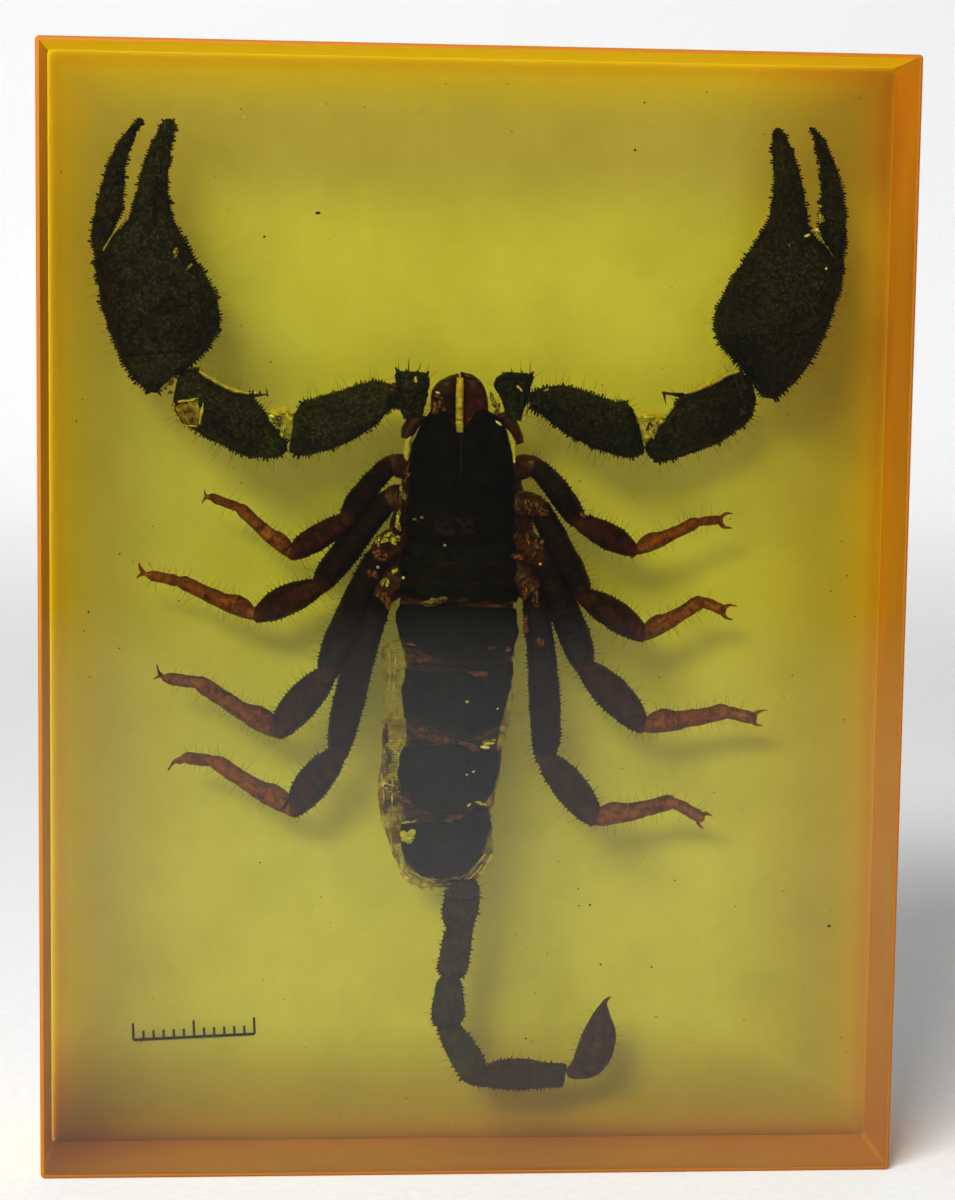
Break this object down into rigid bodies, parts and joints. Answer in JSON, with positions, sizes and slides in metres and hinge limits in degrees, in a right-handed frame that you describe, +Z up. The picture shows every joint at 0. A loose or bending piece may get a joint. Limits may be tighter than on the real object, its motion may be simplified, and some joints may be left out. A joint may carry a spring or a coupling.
{
  "type": "scorpion in resin block",
  "caption": "Flat dark scorpion cast in a standing rectangular block of clear amber resin with a thin opaque backing; a paperweight or display specimen.",
  "frame": {"origin": "centre of the block's foot, on the surface that it stands on", "axes": "+Z up along the block's long side, -Y out of the clear front that the scorpion's back faces, +X to the right as seen from the front"},
  "size_m": [0.082, 0.019, 0.107],
  "materials": {
    "amber_resin": "polished clear amber resin",
    "backing": "pale matt opaque layer",
    "scorpion_shell": "dark dried arthropod cuticle"
  },
  "bodies": {
    "root": {"resin_front": "amber_resin", "resin_back": "amber_resin", "backing": "backing", "scorpion": "scorpion_shell"}
  },
  "joints": []
}
